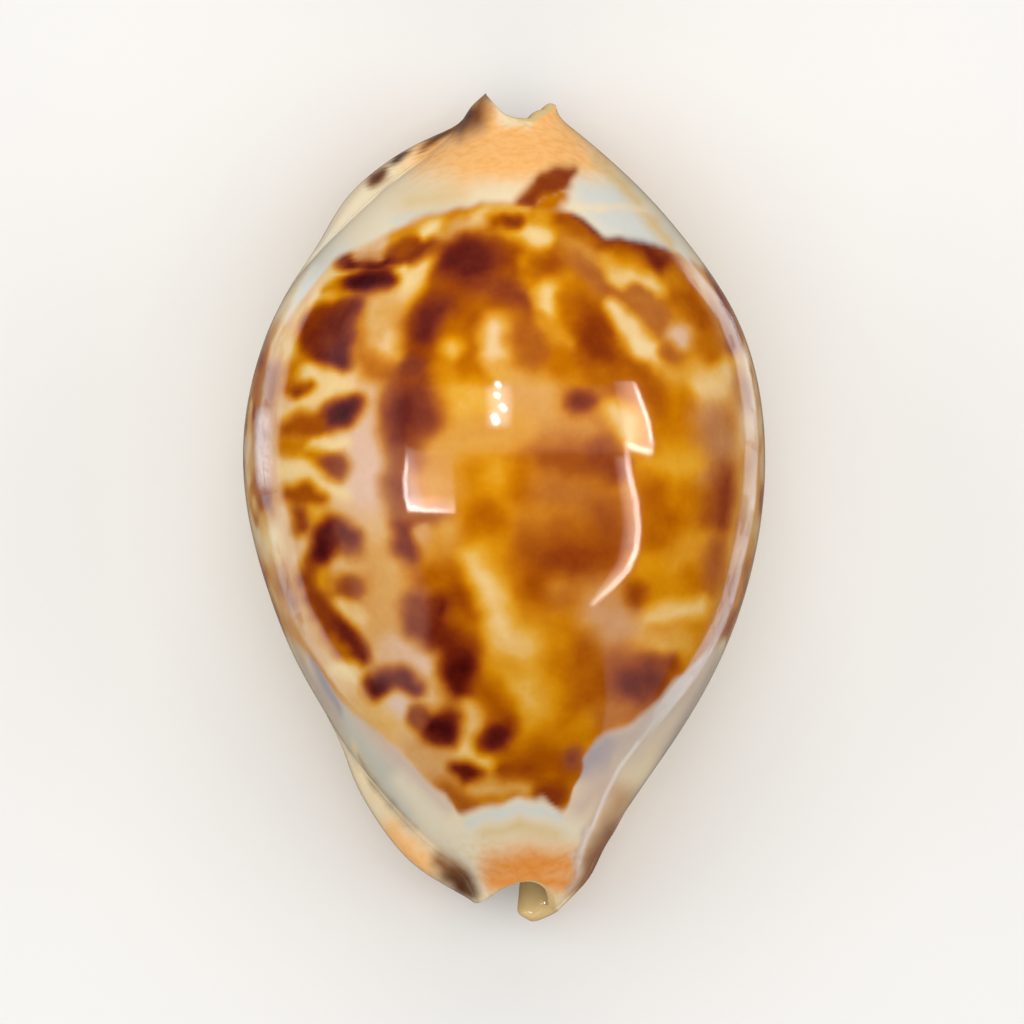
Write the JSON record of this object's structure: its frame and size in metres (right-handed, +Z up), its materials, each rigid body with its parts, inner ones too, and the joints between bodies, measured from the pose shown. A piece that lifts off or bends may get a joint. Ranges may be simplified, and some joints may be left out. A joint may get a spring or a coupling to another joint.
{
  "type": "cowrie seashell",
  "caption": "Glossy egg-shaped cowrie shell with a mottled domed back, toothed lips along a slit in its base and a short canal at each end.",
  "frame": {"origin": "centre of the bounding box's underside, on the surface the shell lies on", "axes": "+Y from the narrow anterior end to the posterior end, +Z up through the top of the back, +X towards the columellar side"},
  "size_m": [0.0502, 0.0802, 0.0412],
  "materials": {
    "shell": "very glossy, porcelain-like, amber and brown mottling on cream"
  },
  "bodies": {
    "root": {"shell": "shell"}
  },
  "joints": []
}
